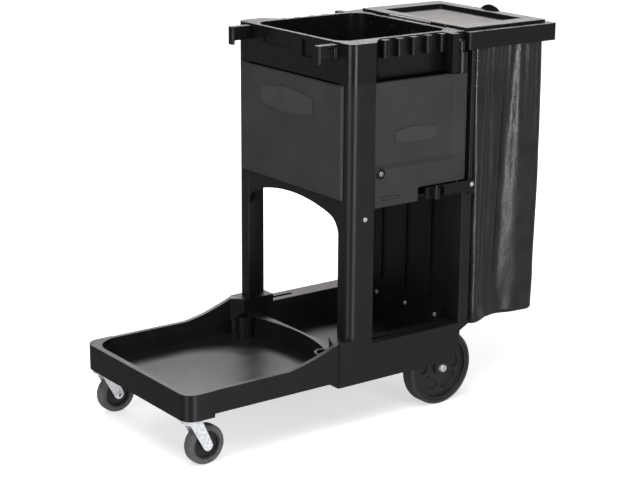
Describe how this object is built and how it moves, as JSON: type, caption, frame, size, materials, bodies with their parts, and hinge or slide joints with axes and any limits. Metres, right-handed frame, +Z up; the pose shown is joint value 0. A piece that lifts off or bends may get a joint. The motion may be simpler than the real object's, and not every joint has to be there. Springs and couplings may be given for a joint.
{
  "type": "housekeeping cart",
  "caption": "Wheeled housekeeping cart with a low front tray, a cabinet with side doors, an open upper bin and a lidded waste bag frame.",
  "frame": {"origin": "on the floor, under the middle of the whole cart's box", "axes": "+Z up; X along the cart, platform front at -X and bag end at +X; Y across, -Y is the left side facing forward (-X)"},
  "size_m": [1.162, 0.552, 1.0092],
  "materials": {
    "black_moulding": "semi-gloss structural foam",
    "satin_panel": "fine-grained satin",
    "bag_vinyl": "glossy wrinkled vinyl",
    "zinc_steel": "plated",
    "bright_zinc": "bright zinc plate",
    "lock_chrome": "polished",
    "lock_black": "gloss",
    "wheel_plastic": "moulded",
    "tyre_rubber": "matt grey-black rubber"
  },
  "bodies": {
    "cart": {"base_tray": "black_moulding", "front_arch": "black_moulding", "cabinet_floor": "black_moulding", "front_panel": "satin_panel", "rear_panel": "black_moulding", "upper_bin": "black_moulding", "hinge_pins": "zinc_steel", "bag_frame": "black_moulding", "lid_hinge_rod": "zinc_steel", "waste_bag": "bag_vinyl", "rear_axle": "zinc_steel", "column_screws": "zinc_steel", "clip_screws": "zinc_steel", "panel_screws": "zinc_steel", "frame_bolts": "zinc_steel", "front_badge": "satin_panel", "front_column_left": "black_moulding", "front_column_right": "black_moulding", "rear_column_left": "black_moulding", "rear_column_right": "black_moulding", "tool_comb_left": "black_moulding", "tool_comb_right": "black_moulding", "front_hook_left": "black_moulding", "front_hook_right": "black_moulding", "hinge_bracket_left": "black_moulding", "hinge_bracket_right": "black_moulding", "push_nut_left": "zinc_steel", "push_nut_right": "zinc_steel", "caster_mount_left": "bright_zinc", "caster_mount_right": "bright_zinc"},
    "lid": {"lid": "black_moulding"},
    "door_left": {"door_left": "satin_panel", "door_badge_left": "satin_panel", "lock_housing_left": "lock_black"},
    "lock_left": {"lock_plug_left": "lock_chrome", "lock_cam_left": "zinc_steel"},
    "rear_wheel_left": {"rear_wheel_left": "wheel_plastic", "rear_tyre_left": "tyre_rubber"},
    "caster_swivel_left": {"caster_fork_left": "bright_zinc", "caster_axle_left": "bright_zinc"},
    "caster_wheel_left": {"caster_hub_left": "wheel_plastic", "caster_tyre_left": "tyre_rubber"},
    "door_right": {"door_right": "satin_panel", "door_badge_right": "satin_panel", "lock_housing_right": "lock_black"},
    "lock_right": {"lock_plug_right": "lock_chrome", "lock_cam_right": "zinc_steel"},
    "rear_wheel_right": {"rear_wheel_right": "wheel_plastic", "rear_tyre_right": "tyre_rubber"},
    "caster_swivel_right": {"caster_fork_right": "bright_zinc", "caster_axle_right": "bright_zinc"},
    "caster_wheel_right": {"caster_hub_right": "wheel_plastic", "caster_tyre_right": "tyre_rubber"}
  },
  "joints": [
    {"name": "lid_hinge", "type": "hinge", "parent": "cart", "child": "lid", "pos_m": [0.283, 0, 0.993], "axis": [0, -1, 0], "range_deg": [0, 100]},
    {"name": "door_hinge_left", "type": "hinge", "parent": "cart", "child": "door_left", "pos_m": [0.262, -0.2265, 0.748], "axis": [0, 0, 1], "range_deg": [0, 90]},
    {"name": "lock_turn_left", "type": "hinge", "parent": "door_left", "child": "lock_left", "pos_m": [-0.0065, -0.236, 0.66], "axis": [0, 1, 0], "range_deg": [0, 90]},
    {"name": "rear_wheel_spin_left", "type": "hinge", "parent": "cart", "child": "rear_wheel_left", "pos_m": [0.215, -0.222, 0.1016], "axis": [0, 1, 0], "continuous": true},
    {"name": "caster_swivel_left", "type": "hinge", "parent": "cart", "child": "caster_swivel_left", "pos_m": [-0.547, -0.214, 0.1167], "axis": [0, 0, 1], "continuous": true},
    {"name": "caster_spin_left", "type": "hinge", "parent": "caster_swivel_left", "child": "caster_wheel_left", "pos_m": [-0.513, -0.214, 0.0508], "axis": [0, 1, 0], "continuous": true},
    {"name": "door_hinge_right", "type": "hinge", "parent": "cart", "child": "door_right", "pos_m": [0.262, 0.2265, 0.748], "axis": [0, 0, -1], "range_deg": [0, 90]},
    {"name": "lock_turn_right", "type": "hinge", "parent": "door_right", "child": "lock_right", "pos_m": [-0.0065, 0.236, 0.66], "axis": [0, 1, 0], "range_deg": [0, 90]},
    {"name": "rear_wheel_spin_right", "type": "hinge", "parent": "cart", "child": "rear_wheel_right", "pos_m": [0.215, 0.222, 0.1016], "axis": [0, 1, 0], "continuous": true},
    {"name": "caster_swivel_right", "type": "hinge", "parent": "cart", "child": "caster_swivel_right", "pos_m": [-0.547, 0.214, 0.1167], "axis": [0, 0, 1], "continuous": true},
    {"name": "caster_spin_right", "type": "hinge", "parent": "caster_swivel_right", "child": "caster_wheel_right", "pos_m": [-0.513, 0.214, 0.0508], "axis": [0, 1, 0], "continuous": true}
  ]
}
